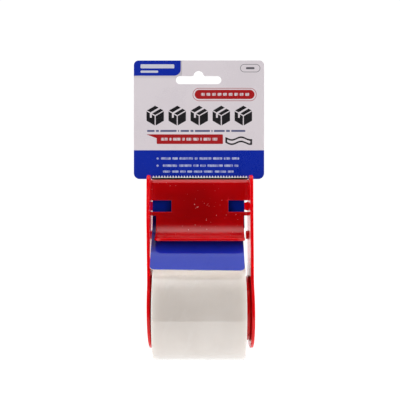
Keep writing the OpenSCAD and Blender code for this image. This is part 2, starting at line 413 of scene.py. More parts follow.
def kraft_board():
    n = Nodes("wound_kraft_board")
    X, Y, Z = n.mm()
    fibre = n.noise(1.0, 5, 0.65, n.stretch(500, 1500, 1500))
    blotch = n.noise(160, 3, 0.5)
    ang = n.math("ARCTAN2", n.math("SUBTRACT", Z, 27.5), Y)
    seam = n.math("FRACT", n.math("ADD", n.math("MULTIPLY", X, 1 / 24.0), n.math("MULTIPLY", ang, 1 / 6.2832)))
    line = n.math("ADD", n.ramp(seam, 0.0, 0.012, 1, 0), n.ramp(seam, 0.988, 1.0, 0, 1), clamp=True)
    c = n.mix(n.ramp(fibre, 0.3, 0.7), (0.40, 0.27, 0.155), (0.55, 0.40, 0.26))
    c = n.mix(n.math("MULTIPLY", n.ramp(blotch, 0.5, 0.75), 0.4), c, (0.33, 0.22, 0.13))
    c = n.mix(n.math("MULTIPLY", line, 0.7), c, (0.20, 0.13, 0.08))
    nor = n.bump(n.math("SUBTRACT", fibre, line), 0.5, 0.00012)
    return n.set(color=c, rough=n.ramp(fibre, 0.3, 0.7, 0.75, 0.9), normal=nor)


# clear film wound on itself: milky, glossy, with faint bands round the roll
def tape_face():
    n = Nodes("wound_tape_face")
    X, Y, Z = n.mm()
    band = n.noise(1.0, 4, 0.55, n.stretch(420, 5, 5))
    cloud = n.noise(38, 4, 0.55, None, 0.6)
    specks = n.noise(650, 2, 0.6)
    ang = n.math("ARCTAN2", n.math("SUBTRACT", Z, 27.5), Y)
    smear = n.noise(1.0, 3, 0.5, n.vec(n.math("ADD", n.math("MULTIPLY", X, 0.17), n.math("MULTIPLY", ang, 1.6)),
                                       n.math("MULTIPLY", ang, 1.3), 0.0), 0.3)
    c = n.mix(n.ramp(cloud, 0.35, 0.68), (0.658, 0.604, 0.560), (0.714, 0.661, 0.617))
    c = n.mix(n.math("MULTIPLY", n.ramp(band, 0.45, 0.70), 0.13), c, (0.70, 0.665, 0.625))
    c = n.mix(n.math("MULTIPLY", n.ramp(smear, 0.58, 0.70), 0.40), c, (0.72, 0.68, 0.645))
    c = n.mix(n.math("MULTIPLY", n.ramp(specks, 0.66, 0.80), 0.20), c, (0.74, 0.71, 0.68))
    rough = n.math("ADD", n.ramp(cloud, 0.3, 0.7, 0.10, 0.17), n.ramp(specks, 0.4, 0.8, 0.0, 0.03))
    nor = n.bump(n.math("ADD", n.math("MULTIPLY", band, 0.35), n.math("MULTIPLY", cloud, 0.6)), 0.10, 0.00016)
    return n.set(color=c, rough=rough, normal=nor, ior=1.5, coat=1.0, coat_rough=0.05, coat_ior=1.65,
                 sub=0.85, sub_scale=0.007, sub_radius=(1.0, 0.95, 0.90))


# the slit edge of the wound film: fine rings and a few darker laps
def tape_side():
    n = Nodes("wound_tape_edge")
    X, Y, Z = n.mm()
    zz = n.math("SUBTRACT", Z, 27.5)
    rad = n.math("SQRT", n.math("ADD", n.math("MULTIPLY", Y, Y), n.math("MULTIPLY", zz, zz)))
    rings = n.noise(1.0, 5, 0.7, n.vec(n.math("MULTIPLY", rad, 6.0), 0.0, 0.0))
    wide = n.noise(1.0, 3, 0.5, n.vec(n.math("MULTIPLY", rad, 0.9), 3.0, 0.0))
    patch = n.noise(120, 3, 0.6)
    c = n.mix(n.ramp(rings, 0.3, 0.7), (0.50, 0.46, 0.40), (0.68, 0.65, 0.60))
    c = n.mix(n.math("MULTIPLY", n.ramp(wide, 0.45, 0.7), 0.45), c, (0.44, 0.39, 0.33))
    c = n.mix(n.math("MULTIPLY", n.ramp(patch, 0.5, 0.75), 0.25), c, (0.76, 0.74, 0.70))
    return n.set(color=c, rough=n.ramp(rings, 0.3, 0.7, 0.32, 0.5), normal=n.bump(rings, 0.5, 0.0001),
                 sub=0.15, sub_scale=0.002, sub_radius=(1.0, 0.9, 0.8))


def tab_film():
    n = Nodes("folded_tape_tab")
    cloud = n.noise(140, 4, 0.6)
    crease = n.noise(1.0, 4, 0.6, n.stretch(900, 60, 60))
    c = n.mix(n.ramp(cloud, 0.35, 0.7), (0.66, 0.63, 0.58), (0.80, 0.78, 0.74))
    return n.set(color=c, rough=n.ramp(crease, 0.3, 0.7, 0.18, 0.32), normal=n.bump(crease, 0.3, 0.00012), coat=0.4,
                 coat_rough=0.1)


def board_back():
    """Uncoated grey-white back and cut edges of the card."""
    n = Nodes("card_board_back")
    fibre = n.noise(1.0, 5, 0.65, n.stretch(900, 900, 500))
    fleck = n.noise(1400, 2, 0.6)
    cloud = n.noise(45, 3, 0.5)
    c = n.mix(n.ramp(fibre, 0.3, 0.7), (0.60, 0.585, 0.55), (0.70, 0.69, 0.66))
    c = n.mix(n.math("MULTIPLY", n.ramp(fleck, 0.66, 0.74), 0.45), c, (0.38, 0.35, 0.31))
    c = n.mix(n.math("MULTIPLY", n.ramp(cloud, 0.4, 0.7), 0.3), c, (0.74, 0.73, 0.71))
    return n.set(color=c, rough=n.ramp(fibre, 0.3, 0.7, 0.72, 0.88), normal=n.bump(fibre, 0.4, 0.00006))


WHITE = (0.655, 0.615, 0.665)
BLUE = (0.0010, 0.0215, 0.405)
RED = (0.43, 0.010, 0.013)
INK = (0.012, 0.011, 0.013)
PALE = (0.50, 0.55, 0.80)


def ring_mask(nd, cx, cz, r_out, r_in):
    return minus(nd, rbox(nd, cx - r_out, cx + r_out, cz - r_out, cz + r_out, r_out),
                 rbox(nd, cx - r_in, cx + r_in, cz - r_in, cz + r_in, r_in))


def card_front():
    """Coated and printed front of the card: plain bars and pictograms, no lettering."""
    n = Nodes("card_printed_front")
    X, Y, Z = n.mm()
    X = n.math("ADD", X, 0.34)
    n._mm = (X, Y, Z)
    cloud = n.noise(30, 3, 0.5)
    dots = n.noise(2600, 2, 0.5)
    paper = n.mix(n.ramp(cloud, 0.35, 0.68), (0.80, 0.735, 0.775), (0.84, 0.775, 0.81))
    c = paper
    # soft grey shade printed under the corner block
    shade = rbox(n, -40, -9.4, 151.6, 170, 3.2)
    soft = n.math("MULTIPLY", shade, n.ramp(Z, 151.9, 154.2, 0.0, 0.45))
    c = n.mix(soft, c, (0.33, 0.31, 0.36))
    # corner block with two bars
    block = rbox(n, -45, -10.1, 153.7, 175, 3.6)
    c = n.mix(block, c, BLUE)
    # uneven ink in the small marks
    ink = n.ramp(n.noise(1.0, 1, 0.5, n.stretch(900, 1, 300)), 0.34, 0.60, 0.35, 1.0)
    sign = [rbox(n, -32.0, -13.6, 157.7, 159.9, 0.5), rbox(n, -32.0, -22.4, 155.3, 156.5, 0.5)]
    c = n.mix(union(n, sign), c, (0.68, 0.68, 0.78))
    # small outlined pill
    pill = minus(n, rbox(n, 22.3, 33.2, 155.6, 160.0, 2.2), rbox(n, 22.55, 32.95, 155.85, 159.75, 1.95))
    c = n.mix(pill, c, (0.10, 0.095, 0.11))
    c = n.mix(rbox(n, 25.4, 30.1, 157.25, 158.35, 0.5), c, (0.12, 0.11, 0.13))
    # red pill
    edge = minus(n, rbox(n, -3.6, 31.2, 139.9, 147.0, 3.5), rbox(n, -3.3, 30.9, 140.2, 146.7, 3.2))
    c = n.mix(edge, c, (0.50, 0.12, 0.14))
    c = n.mix(rbox(n, -2.5, 30.1, 141.0, 146.0, 2.5), c, RED)
    dashes = [rbox(n, 0.9 + 3.02 * i, 0.9 + 3.02 * i + 2.1, 142.75, 144.3, 0.4) for i in range(9)]
    c = n.mix(n.math("MULTIPLY", union(n, dashes), ink), c, (0.76, 0.68, 0.71))
    # row of five cartons drawn as plain cubes, each with a strip of tape
    m = []
    for cx in (-24.0, -12.0, 0.0, 12.0, 24.0):
        h, cz = 4.75, 131.9
        dx = n.math("SUBTRACT", X, cx)
        ax = n.math("ABSOLUTE", dx)
        dz = n.math("SUBTRACT", Z, cz)
        az = n.math("ABSOLUTE", dz)
        hexa = n.math("MAXIMUM", ax, n.math("ADD", n.math("MULTIPLY", ax, 0.5), n.math("MULTIPLY", az, 0.866)))
        body = n.ramp(hexa, h - 0.04, h + 0.04, 1, 0)
        crease = n.math("ABSOLUTE", n.math("SUBTRACT", dz, n.math("MULTIPLY", ax, 0.5774)))
        line = n.ramp(crease, 0.27, 0.35, 1, 0)
        post = n.math("MULTIPLY", n.ramp(ax, 0.22, 0.30, 1, 0), n.ramp(dz, -0.1, 0.0, 1, 0))
        band = n.math("ABSOLUTE", n.math("SUBTRACT", n.math("SUBTRACT", dz, n.math("MULTIPLY", dx, 0.5774)), 0.5774 * h))
        over = n.math("MULTIPLY", n.ramp(band, 0.50, 0.58, 1, 0), n.math("GREATER_THAN", n.math("SUBTRACT", dz, n.math("MULTIPLY", ax, 0.5774)), 0.0))
        hang = rbox(n, -h / 2 - 0.5, -h / 2 + 0.5, -1.1, 1.7, 0.1, x=dx, z=dz)
        white = union(n, [line, post, over, hang])
        m.append(minus(n, body, white))
    c = n.mix(union(n, m), c, INK)
    # thin line of short grey bars
    x, bars = -28.4, []
    for w in (4.6, 2.2, 9.4, 1.2, 5.2, 2.2, 8.8, 1.2, 6.4, 2.6, 8.2):
        bars.append(rbox(n, x, x + w - 0.55, 123.1, 124.15, 0.3))
        x += w + 0.2
    c = n.mix(union(n, bars), c, (0.105, 0.12, 0.24))
    # red banner with a tapering tail, bars in white
    tail_lo = n.ramp(X, -28.6, -22.0, 121.6, 119.2)
    tail = n.math("MULTIPLY", n.math("MULTIPLY", n.math("GREATER_THAN", Z, tail_lo), n.math("LESS_THAN", Z, 121.75)),
                  n.math("MULTIPLY", n.math("GREATER_THAN", X, -28.6), n.math("LESS_THAN", X, -22.0)))
    banner = n.math("MAXIMUM", rbox(n, -23.2, 12.9, 116.5, 121.75, 0.5), tail)
    c = n.mix(banner, c, RED)
    x, bars = -20.8, []
    for w in (4.2, 1.6, 4.6, 2.0, 3.2, 3.6, 1.4, 4.4, 3.4):
        bars.append(rbox(n, x, x + w - 0.5, 118.35, 119.9, 0.35))
        x += w + 0.35
    c = n.mix(n.math("MULTIPLY", union(n, bars), ink), c, (0.76, 0.68, 0.71))
    # black strip sign beside the banner
    wave = n.math("MULTIPLY", n.math("SINE", n.math("MULTIPLY", X, 0.62)), 0.75)
    zw = n.math("SUBTRACT", Z, wave)
    strip = minus(n, rbox(n, 14.2, 28.8, 116.7, 119.9, 0.25, z=zw), rbox(n, 15.2, 27.8, 117.6, 119.0, 0.2, z=zw))
    c = n.mix(strip, c, INK)
    # blue band with three lines of pale bars and two bullets
    c = n.mix(rbox(n, -60, 60, 60.0, 113.1, 0.1), c, BLUE)
    rows = [(-20.8, 108.0, (5.2, 3.0, 7.4, 1.6, 6.6, 5.0, 3.4, 4.0), 1.25),
            (-19.8, 104.1, (7.8, 7.0, 2.8, 3.0, 8.4, 4.6, 2.2), 1.25),
            (-19.8, 100.9, (4.0, 3.6, 3.0, 2.6, 4.6, 5.0, 6.2, 3.2), 1.15)]
    bars = []
    for x, z, ws, h in rows:
        for w in ws:
            bars.append(rbox(n, x, x + w, z, z + h, 0.35))
            x += w + 0.9
    bars += [rbox(n, -23.3, -22.1, 108.0, 109.2, 0.6), rbox(n, -23.3, -22.1, 104.1, 105.3, 0.6)]
    c = n.mix(n.math("MULTIPLY", union(n, bars), ink), c, PALE)
    c = n.mix(n.math("MULTIPLY", n.ramp(dots, 0.60, 0.72), 0.06), c, (0.5, 0.5, 0.55))
    rough = n.math("ADD", n.ramp(cloud, 0.3, 0.7, 0.24, 0.32), n.ramp(dots, 0.4, 0.8, 0.0, 0.03))
    return n.set(color=c, rough=rough, normal=n.bump(n.math("ADD", cloud, n.math("MULTIPLY", dots, 0.04)), 0.08, 0.0002),
                 ior=1.5, coat=0.10, coat_rough=0.12)


def tongue_front():
    """Blue, varnished front of the tongue."""
    n = Nodes("card_blue_varnish")
    cloud = n.noise(40, 3, 0.5)
    dots = n.noise(2600, 2, 0.5)
    wave = n.noise(1.0, 3, 0.5, n.stretch(30, 90, 90))
    c = n.mix(n.ramp(cloud, 0.35, 0.68), (0.0022, 0.022, 0.40), (0.0030, 0.027, 0.46))
    c = n.mix(n.math("MULTIPLY", n.ramp(dots, 0.60, 0.72), 0.05), c, (0.2, 0.25, 0.6))
    rough = n.math("ADD", n.ramp(cloud, 0.3, 0.7, 0.045, 0.07), n.ramp(dots, 0.4, 0.8, 0.0, 0.01))
    return n.set(color=c, rough=rough, normal=n.bump(wave, 0.10, 0.0003), ior=1.5, spec=0.48)


MAT_RED = red_plastic("red_moulded_plastic", (0.72, 0.0011, 0.0045), (0.78, 0.0016, 0.0060), spec=0.34)
# the plate is a darker copy of the red plastic: painted shade, because the card behind it keeps light from passing
# through
MAT_PLATE = red_plastic("red_plate_painted_shade", (0.62, 0.0010, 0.0035), (0.68, 0.0013, 0.0045),
                        painted_shade_colour=(0.37, 0.0008, 0.0022), spec=0.62, scale=0.0022, specks=True, gloss=0.10)
# hubs, pegs and tabs get a brighter copy of the red plastic: a painted glow standing in for light shining through them
# from behind
MAT_RED_PAINTED_GLOW = red_plastic("red_fittings_painted_glow", (0.965, 0.0014, 0.0050), (0.98, 0.0020, 0.0070), spec=0.35, scale=0.0140)
MAT_STEEL = blade_steel()
MAT_KRAFT = kraft_board()
MAT_TAPE = tape_face()
MAT_SIDE = tape_side()
MAT_TAB = tab_film()
MAT_BACK = board_back()
MAT_CARD = card_front()
MAT_TONGUE = tongue_front()


def dress(ob, mats, body=None, nodes=()):
    keep = [p.material_index for p in ob.data.polygons]
    ob.data.materials.clear()
    for m in mats:
        ob.data.materials.append(m)
    if len(mats) > 1:
        ob.data.polygons.foreach_set("material_index", keep)
    if body:
        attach(ob, body)
    if nodes:
        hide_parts(*nodes)
    return ob


# ------------------------------------------------------------------- arms
AZ = 27.5
DISC, HOLE = 21.2, 15.2
IN_X = 26.2
ARM_T = 1.7


def arm_loop():
    ff, fy, rf, ry, top = 12.0, -15.2, 16.0, 7.5, 99.2
    fcz = AZ + math.sqrt((DISC + ff) ** 2 - (fy - ff) ** 2)
    fa = math.degrees(math.atan2(fcz - AZ, fy - ff))
    rcz = AZ + math.sqrt((DISC + rf) ** 2 - (ry + rf) ** 2)
    ra = math.degrees(math.atan2(rcz - AZ, ry + rf))
    pts = arc(0, AZ, DISC, fa, 360 + ra, 110)
    pts += arc(ry + rf, rcz, rf, ra + 180, 180, 18)[1:]
    pts += arc(2.2, 89.2, 3.4, 0, 45, 10)
    pts += arc(-4.6, top - 3.6, 3.6, 45, 90, 10)
    pts += arc(-9.2, top - 4.2, 4.2, 90, 180, 14)
    pts += [(fy, 58)]
    pts += arc(fy - ff, fcz, ff, 0, fa - 180, 18)[:-1]
    return pts


LEAN = {"left": 0.87, "right": 0.34}
FOOT_Z = 77.45


def lean(ob, side):
    """Turns what lies below the foot of the shoulder by the arm's free lean, about Y."""
    s = -1 if side == "left" else 1
    a = math.radians(LEAN[side])
    px, pz = s * (IN_X + ARM_T / 2) * MM, FOOT_Z * MM
    for v in ob.data.vertices:
        if v.co.z < pz:
            dx, dz = v.co.x - px, v.co.z - pz
            v.co.x = px + dx * math.cos(a) - dz * math.sin(a)
            v.co.z = pz + dx * math.sin(a) + dz * math.cos(a)
    ob.data.update()


def build_arm(side):
    s = -1 if side == "left" else 1
    hole = arc(0, AZ, HOLE, 0, 360, 96)[:-1]
    ob = plate_2d(f"{side}_side_arm", [arm_loop(), hole], ARM_T, 0.42, "x", s * (IN_X + ARM_T / 2))
    bisect_rows(ob, [56 + 1.5 * i for i in range(20)])
    lean(ob, side)
    weighted(ob)
    dress(ob, [MAT_RED], None, (f"{side}_shoulder", f"{side}_arm"))
    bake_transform(ob)
    return ob


for side in ("left", "right"):
    build_arm(side)


# hubs: a split collar with a snap bead and a filleted root
def build_hub(side):
    s = -1 if side == "left" else 1
    r_in, r_out, L, bead = 15.2, 17.1, 6.5, 0.55
    prof = [(0.0, r_in), (0.0, r_out + 0.8), (0.25, r_out + 0.35), (0.7, r_out + 0.06), (1.2, r_out),
            (L - 2.7, r_out), (L - 2.3, r_out + bead * 0.35), (L - 1.9, r_out + bead * 0.9), (L - 1.5, r_out + bead),
            (L - 1.15, r_out + bead * 0.85), (L - 0.5, r_out + 0.02), (L - 0.15, r_out - 0.45), (L, r_out - 0.8),
            (L, r_in + 0.35), (L - 0.35, r_in), (1.2, r_in)]
    n = 256
    slit = {k for k in range(n) for a in (45, 135, 225, 315)
            if abs((360.0 * (k + 0.5) / n - a + 180) % 360 - 180) < 2.85}
    m = len(prof)
    verts, faces = [], []
    for k in range(n):
        a = 2 * math.pi * k / n
        for px, pr in prof:
            verts.append((s * (IN_X - px), pr * math.cos(a), AZ + pr * math.sin(a)))
    gone = {j for j in range(m) if j >= 4 and j <= 14}      # profile edges that a slit removes
    for k in range(n):
        k2 = (k + 1) % n
        for j in range(m):
            if k in slit and j in gone:
                continue
            faces.append((k * m + j, k * m + (j + 1) % m, k2 * m + (j + 1) % m, k2 * m + j))
        if k in slit:
            a, b = 4, 15          # the slit's floor joins the outside and the bore
            faces.append((k * m + a, k * m + b, k2 * m + b, k2 * m + a))
            for kk, other in ((k, (k - 1) % n), (k2, (k + 1) % n)):
                if other not in slit:
                    faces.append(tuple(kk * m + j for j in range(4, 16)))
    ob = mesh_from(f"{side}_hub_collar", verts, faces)
    b = ob.modifiers.new("edges", "BEVEL")
    b.width = 0.12 * MM
    b.segments = 2
    b.limit_method = "ANGLE"
    b.angle_limit = math.radians(55)
    weighted(ob)
    lean(ob, side)
    dress(ob, [MAT_RED_PAINTED_GLOW], f"{side}_spring_arm", (f"{side}_hub",))
    return ob


for side in ("left", "right"):
    build_hub(side)


def build_peg(side):
    """A short domed peg behind the card's tongue."""
    s = -1 if side == "left" else 1
    r, L = 2.3, 1.3
    prof = [(-0.5, 0.0001), (-0.5, r), (0.0, r + 0.25), (0.2, r + 0.05), (0.4, r)] + \
           [(L - 0.5 + 0.5 * math.sin(math.radians(t)), r - 0.5 + 0.5 * math.cos(math.radians(t))) for t in range(0, 91, 15)] + \
           [(L, 0.0001)]
    ob = lathe(f"{side}_peg_stud", prof, s * IN_X, -s, 67.0, n=64, yc=1.2)
    lean(ob, side)
    return dress(ob, [MAT_RED_PAINTED_GLOW], f"{side}_spring_arm", (f"{side}_card_peg",))


for side in ("left", "right"):
    build_peg(side)


# ----------------------------------------------------- front plate and lip
def build_plate():
    fy, t, R = -2.0, 1.4, 11.4
    back = fy + t
    rows = [((-0.72, 97.1), (back, 97.1)), ((fy, 95.2), (back, 95.2))]
    for z in (94.4, 92.0, 89.0, 86.4, 85.8, 85.2, 84.2, 82.7, 81.1, 80.2, 79.6, 79.0, 77.6):
        rows.append(((fy, z), (back, z)))
    cz, cy = 77.6, fy - R
    steps = 30
    for i in range(1, steps + 1):
        a = math.radians(90.0 * i / steps)
        rows.append(((cy + R * math.cos(a), cz - R * math.sin(a)), (cy + (R + t) * math.cos(a), cz - (R + t) * math.sin(a))))
    wide_last = len(rows) - 1 - steps               # index of the row at z = 77.6
    for i in range(1, 9):                           # flat land at the free edge
        rows.append(((cy - 2.4 * i / 8, cz - R), (cy - 2.4 * i / 8, cz - R - t)))
    half = [0, 4, 8, 12, 14.8, 15.4, 16.0, 18.0, 20.5, 22.4, 23.0, 23.6, 26.45]
    cols = [-x for x in half[:0:-1]] + half
    nr, nc = len(rows), len(cols)
    lo = [i for i, r in enumerate(rows) if r[0][1] == 79.6][0]
    hi = [i for i, r in enumerate(rows) if r[0][1] == 85.8][0]

    def present(i, j):
        if i < 0 or j < 0 or i >= nr - 1 or j >= nc - 1:
            return False
        x = (cols[j] + cols[j + 1]) / 2
        if i >= wide_last:
            return abs(x) < 23.6
        if hi <= i < lo and abs(x) > 15.4:
            return False
        return True

    def xat(i, j):
        """Columns draw in near the lip's edge, to round its corners."""
        x = cols[j]
        if i <= wide_last:
            return x
        land = nr - 1 - i
        d = 0.3 * land if land <= 8 else 2.4 + (land - 8) * (math.pi / 2 * (R + t / 2)) / steps
        r = 3.4
        if d < r:
            inset = r - math.sqrt(max(r * r - (r - d) ** 2, 0))
            return x * (23.6 - inset) / 23.6
        return x
    verts, idx = [], {}

    def v(i, j, k):
        key = (i, j, k)
        if key not in idx:
            y, z = rows[i][k]
            idx[key] = len(verts)
            verts.append((xat(i, j), y, z))
        return idx[key]
    faces = []
    for i in range(nr - 1):
        for j in range(nc - 1):
            if not present(i, j):
                continue
            faces.append((v(i, j, 0), v(i, j + 1, 0), v(i + 1, j + 1, 0), v(i + 1, j, 0)))
            faces.append((v(i, j, 1), v(i + 1, j, 1), v(i + 1, j + 1, 1), v(i, j + 1, 1)))
            if not present(i - 1, j):
                faces.append((v(i, j, 0), v(i, j, 1), v(i, j + 1, 1), v(i, j + 1, 0)))
            if not present(i + 1, j):
                faces.append((v(i + 1, j, 0), v(i + 1, j + 1, 0), v(i + 1, j + 1, 1), v(i + 1, j, 1)))
            if not present(i, j - 1):
                faces.append((v(i, j, 0), v(i + 1, j, 0), v(i + 1, j, 1), v(i, j, 1)))
            if not present(i, j + 1):
                faces.append((v(i, j + 1, 0), v(i, j + 1, 1), v(i + 1, j + 1, 1), v(i + 1, j + 1, 0)))
    ob = mesh_from("front_plate_moulding", verts, faces)
    finish_edges(ob, 0.3, 4, 32, keep=lambda e: min(v.co.z for v in e.verts) > 96.5 * MM or
                 (abs(e.verts[0].co.x) > 26.3 * MM and abs(e.verts[1].co.x) > 26.3 * MM))
    return dress(ob, [MAT_PLATE], "frame", ("front_plate", "thumb_lip", "blade_ledge"))


build_plate()


# tabs behind the windows, with a rounded nose and a thicker root
def build_tab(side):
    s = -1 if side == "left" else 1
    y0, y1, z0, z1 = 2.0, 3.3, 80.6, 84.6
    verts, faces = [], []
    xs = [26.5, 25.6, 24.8, 22.0, 19.0, 17.2, 16.3, 15.9]
    grow = [0.55, 0.25, 0.0, 0.0, 0.0, 0.0, -0.12, -0.42]
    for x, g in zip(xs, grow):
        for y, z in ((y0 - min(g, 0), z0 - g), (y1 + g, z0 - g), (y1 + g, z1 + g), (y0 - min(g, 0), z1 + g)):
            verts.append((s * x, y, z))
    n = len(xs)
    for i in range(n - 1):
        for j in range(4):
            faces.append((i * 4 + j, i * 4 + (j + 1) % 4, (i + 1) * 4 + (j + 1) % 4, (i + 1) * 4 + j))
    faces += [(0, 1, 2, 3), tuple(4 * (n - 1) + k for k in range(4))]
    ob = mesh_from(f"{side}_window_tab", verts, faces)
    finish_edges(ob, 0.25, 3, 35)
    return dress(ob, [MAT_RED_PAINTED_GLOW], "frame", (f"{side}_card_tab",))


for side in ("left", "right"):
    build_tab(side)


# ------------------------------------------------------------------ blade
def build_blade():
    half, teeth, z0, zv, zt = 25.9, 34, 88.5, 98.0, 99.35
    y0, y1 = -0.6, -0.2
    pitch = 2 * half / teeth
    holes = [-20, -10, 0, 10, 20]
    top = [(half, zv)]
    for i in range(teeth):
        top.append((half - (i + 0.5) * pitch, zt))
        top.append((half - (i + 1) * pitch, zv))
    # strip below the teeth, with its holes
    loops = [[(-half, zv - 0.35), (-half, z0 + 0.6), (-half + 0.6, z0), (half - 0.6, z0), (half, z0 + 0.6), (half, zv - 0.35)]]
    for x in holes:
        loops.append(arc(x, 91.5, 1.05, 0, 360, 28)[:-1])
    strip = plate_2d("blade_strip", loops, y1 - y0, 0.03, "y", (y0 + y1) / 2, res=1)
    # tooth band, ground thinner to its tips on the front
    verts, faces = [], []
    base = zv - 0.37
    pts = top
    n = len(pts)
    for (x, z) in pts:
        k = (z - zv) / (zt - zv)
        verts += [(x, y0 + 0.26 * k + (0.04 if k == 0 else 0), z), (x, y1 - 0.02, z), (x, y0, base), (x, y1, base)]
    for i in range(n - 1):
        a, b = 4 * i, 4 * (i + 1)
        faces += [(a, b, b + 2, a + 2), (a + 1, a + 3, b + 3, b + 1), (a, a + 1, b + 1, b), (a + 2, b + 2, b + 3, a + 3)]
    faces += [(0, 2, 3, 1), (4 * (n - 1), 4 * (n - 1) + 1, 4 * (n - 1) + 3, 4 * (n - 1) + 2)]
    band = mesh_from("serrated_cutter_blade", verts, faces, smooth=False)
    bm = bmesh.new()
    bm.from_mesh(band.data)
    bm.from_mesh(strip.data)
    bm.to_mesh(band.data)
    bm.free()
    bpy.data.objects.remove(strip)
    band.data.polygons.foreach_set("use_smooth", [False] * len(band.data.polygons))
    return dress(band, [MAT_STEEL], "frame", ("cutter_blade",))


build_blade()


def build_stakes():
    """Five heat-formed stakes with domed heads behind the blade."""
    verts, faces = [], []
    prof = [(-0.2, 0.0001), (-0.2, 1.0), (0.4, 1.0), (0.41, 1.62), (0.5, 1.7), (0.62, 1.62), (0.76, 1.32), (0.86, 0.85), (0.9, 0.4), (0.9, 0.0001)]
    n = 32
    for x in (-20, -10, 0, 10, 20):
        base = len(verts)
        for k in range(n):
            a = 2 * math.pi * k / n
            for d, r in prof:
                verts.append((x + r * math.cos(a), -0.6 + d, 91.5 + r * math.sin(a)))
        m = len(prof)
        for k in range(n):
            for j in range(m):
                faces.append((base + k * m + j, base + k * m + (j + 1) % m, base + ((k + 1) % n) * m + (j + 1) % m, base + ((k + 1) % n) * m + j))
    ob = mesh_from("blade_stake_heads", verts, faces)
    return dress(ob, [MAT_RED], "frame", ("blade_stakes",))


build_stakes()


# ------------------------------------------------------------------- tape
ROLL_X = -0.4


def build_roll():
    """The wound film: a spiral whose last lap ends in a fine step at the back."""
    r0, ri, half = 27.5, 21.12, 24.0
    n = 360
    start = 62.0                     # where the outer lap ends, degrees from +Y towards +Z
    lap = 0.06
    prof = [(-half, ri + 0.15), (-half, r0 - 0.28), (-half + 0.03, r0 - 0.14), (-half + 0.11, r0 - 0.04), (-half + 0.24, r0)]
    inner = [(-16, r0), (-8, r0), (0, r0), (8, r0), (16, r0)]
    prof += inner + [(half - 0.24, r0), (half - 0.11, r0 - 0.04), (half - 0.03, r0 - 0.14), (half, r0 - 0.28), (half, ri + 0.15),
                     (half - 0.15, ri), (-half + 0.15, ri)]
    m = len(prof)
    verts, faces, mats = [], [], []
    for k in range(n + 1):
        f = k / n
        a = math.radians(start + 360.0 * f)
        # slight telescoping of the laps and a soft, uneven face
        for j, (px, pr) in enumerate(prof):
            rr = pr
            if pr > 27:
                rr = pr - lap * (1 - f)
            if abs(px) < 24 and pr > 27:
                rr -= 0.012 * (1 + math.sin(3 * a + px * 0.21)) + 0.006 * (1 + math.sin(7 * a - px * 0.5))
            verts.append((ROLL_X + px, rr * math.cos(a), AZ + rr * math.sin(a)))
    side = {0, 1, m - 4, m - 3, m - 2}
    for k in range(n):
        for j in range(m):
            j2 = (j + 1) % m
            faces.append((k * m + j, k * m + j2, (k + 1) * m + j2, (k + 1) * m + j))
            px0, px1 = prof[j][0], prof[j2][0]
            mats.append(1 if abs(px0 - px1) < 0.06 and abs(px0) > 23.8 else 0)
    # the step where the last lap ends
    for j in range(m):
        j2 = (j + 1) % m
        faces.append((j, j2, n * m + j2, n * m + j))
        mats.append(0)
    ob = mesh_from("wound_tape_roll", verts, faces, mats)
    ob.data.set_sharp_from_angle(angle=math.radians(50))
    return dress(ob, [MAT_TAPE, MAT_SIDE], "roll", ("tape_roll",))


build_roll()


def build_core():
    ri, ro, half = 19.05, 21.1, 24.0
    prof = [(-half, ri + 0.2), (-half, ro - 0.1), (-half + 0.1, ro), (half - 0.1, ro), (half, ro - 0.1), (half, ri + 0.2),
            (half - 0.06, ri + 0.06), (half - 0.2, ri), (10, ri), (0, ri), (-10, ri), (-half + 0.2, ri), (-half + 0.06, ri + 0.06)]
    ob = lathe("board_core_tube", prof, ROLL_X, 1, AZ, n=192)
    ob.data.set_sharp_from_angle(angle=math.radians(50))
    return dress(ob, [MAT_KRAFT], "roll", ("tape_core",))


build_core()


def build_pull_tab():
    """The free end of the tape, folded over to make a tab, with a slightly lifted edge."""
    r = 27.5
    verts, faces = [], []
    na, nx = 24, 24
    a0, a1 = 38.0, 57.2
    for layer in (0, 1):
        for i in range(na + 1):
            f = i / na
            a = math.radians(a0 + (a1 - a0) * f)
            lift = 0.07 * max(0, (0.35 - f) / 0.35) ** 2
            for j in range(nx + 1):
                u = j / nx
                x = ROLL_X - 23.7 + 47.4 * u
                w = 0.012 * math.sin(u * 17 + 2.1 * f) + 0.010 * math.sin(u * 41)
                rr = r + 0.03 + (0.105 + w if layer else 0.0) + lift
                verts.append((x, rr * math.cos(a), AZ + rr * math.sin(a)))
    N = (na + 1) * (nx + 1)
    for i in range(na):
        for j in range(nx):
            p = i * (nx + 1) + j
            faces.append((p, p + 1, p + nx + 2, p + nx + 1))
            faces.append((N + p, N + p + nx + 1, N + p + nx + 2, N + p + 1))
    for i in range(na):
        for j in (0, nx):
            p, q = i * (nx + 1) + j, (i + 1) * (nx + 1) + j
            faces.append((p, q, N + q, N + p))
    for j in range(nx):
        for i in (0, na):
            p = i * (nx + 1) + j
            faces.append((p, p + 1, N + p + 1, N + p))
    ob = mesh_from("tape_end_tab", verts, faces)
    ob.data.set_sharp_from_angle(angle=math.radians(60))
    return dress(ob, [MAT_TAB], "roll", ("tape_pull_tab",))


build_pull_tab()


# ------------------------------------------------------------------- card
CARD_X = -0.5


